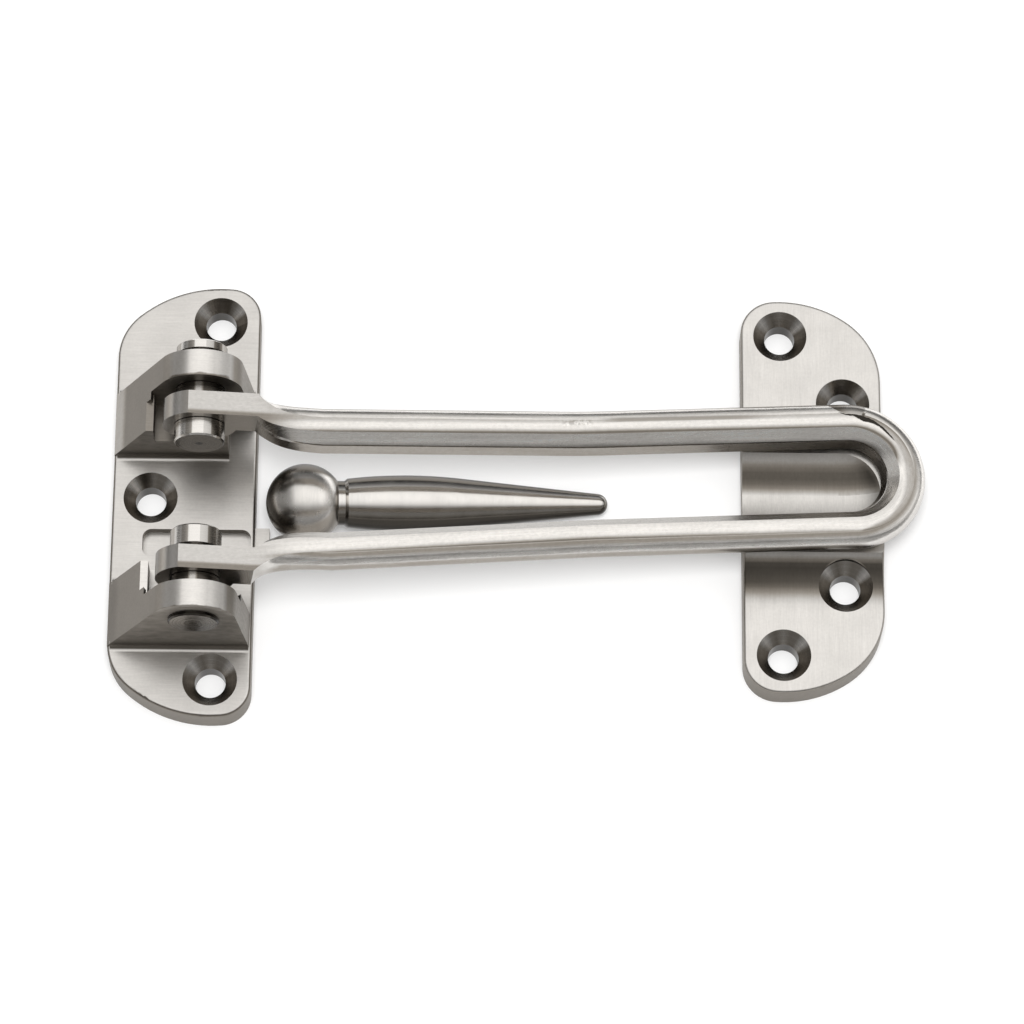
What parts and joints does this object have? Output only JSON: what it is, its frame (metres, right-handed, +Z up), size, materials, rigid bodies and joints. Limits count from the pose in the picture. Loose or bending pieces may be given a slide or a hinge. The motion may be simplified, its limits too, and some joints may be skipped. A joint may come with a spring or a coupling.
{
  "type": "swing bar door guard",
  "caption": "Swing bar door guard: a frame plate with hinge lugs, a U-shaped swing bar, a keeper plate and a loose ball stud, in satin stainless steel.",
  "frame": {"origin": "middle of the frame plate's back face", "axes": "+X along the closed bar towards the keeper plate, +Y along the hinge pins, +Z up from the backs of the plates"},
  "size_m": [0.1351, 0.0764, 0.0254],
  "materials": {
    "satin_plate": "satin stainless steel, fine grain along X",
    "satin_keeper": "satin stainless steel, fine grain along Y",
    "polished_bar": "hand-ground and lightly polished stainless steel",
    "polished_stud": "turned and polished stainless steel",
    "turned_pin": "turned stainless steel"
  },
  "bodies": {
    "frame": {"frame_plate": "satin_plate", "keeper_plate": "satin_keeper", "ball_stud": "polished_stud", "upper_hinge_pin": "turned_pin", "upper_pin_nut": "turned_pin", "upper_pin_spacer": "turned_pin", "lower_hinge_pin": "turned_pin", "lower_pin_nut": "turned_pin", "lower_pin_spacer": "turned_pin"},
    "swing_bar": {"swing_bar": "polished_bar"}
  },
  "joints": [
    {"name": "swing", "type": "hinge", "parent": "frame", "child": "swing_bar", "pos_m": [0.003, -0.0039, 0.0185], "axis": [0, -1, 0], "range_deg": [0, 140]}
  ]
}
